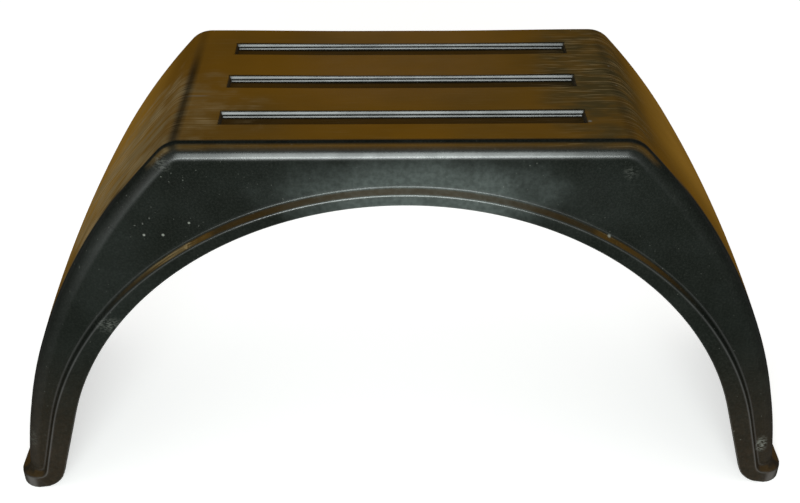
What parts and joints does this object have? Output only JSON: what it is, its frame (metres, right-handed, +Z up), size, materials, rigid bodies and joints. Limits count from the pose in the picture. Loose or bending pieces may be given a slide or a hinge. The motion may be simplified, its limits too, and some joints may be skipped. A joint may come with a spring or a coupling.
{
  "type": "mudguard",
  "caption": "Moulded plastic trailer mudguard with a flat grooved top, curved treads, a side skirt with a round wheel arch, and a stepped rim that turns out at the feet.",
  "frame": {"origin": "middle of the guard's length and width, at the level of the feet", "axes": "+X along the guard, +Y towards the open side at the trailer, +Z up; the skirt faces -Y"},
  "size_m": [0.78, 0.249, 0.392],
  "materials": {
    "mudguard": "satin black polyethylene with scuffs and brown dust"
  },
  "bodies": {
    "root": {"mudguard": "mudguard"}
  },
  "joints": []
}
